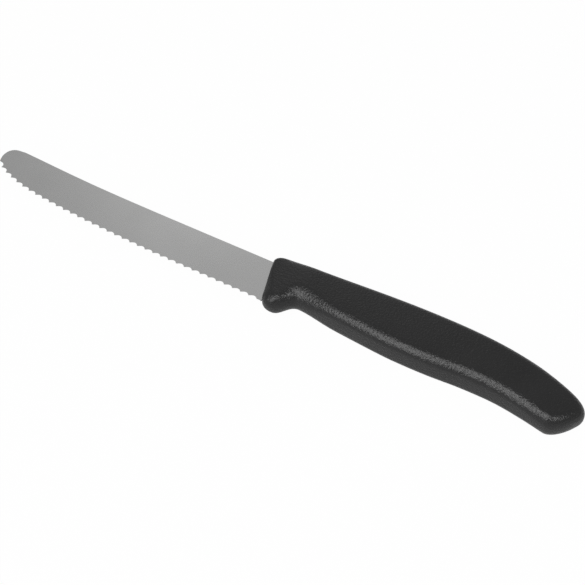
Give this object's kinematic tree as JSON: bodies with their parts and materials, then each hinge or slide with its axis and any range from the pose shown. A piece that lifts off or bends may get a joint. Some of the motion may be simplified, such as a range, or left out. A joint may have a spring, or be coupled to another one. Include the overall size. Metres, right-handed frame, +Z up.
{
  "type": "table knife",
  "caption": "Table knife with a round-tipped, scalloped steel blade and a curved black plastic handle moulded over its tang, for cutting soft food at the table.",
  "frame": {"origin": "middle of the knife's length and width, on the surface that the handle's side lies on", "axes": "+X along the knife from tip to butt, +Y from the cutting edge to the spine, +Z up from the side that it lies on"},
  "size_m": [0.2202, 0.0224, 0.0114],
  "materials": {
    "blade": "satin ground stainless steel",
    "handle": "black moulded plastic with a fine spark-eroded grain"
  },
  "bodies": {
    "root": {"blade": "blade", "handle": "handle"}
  },
  "joints": []
}
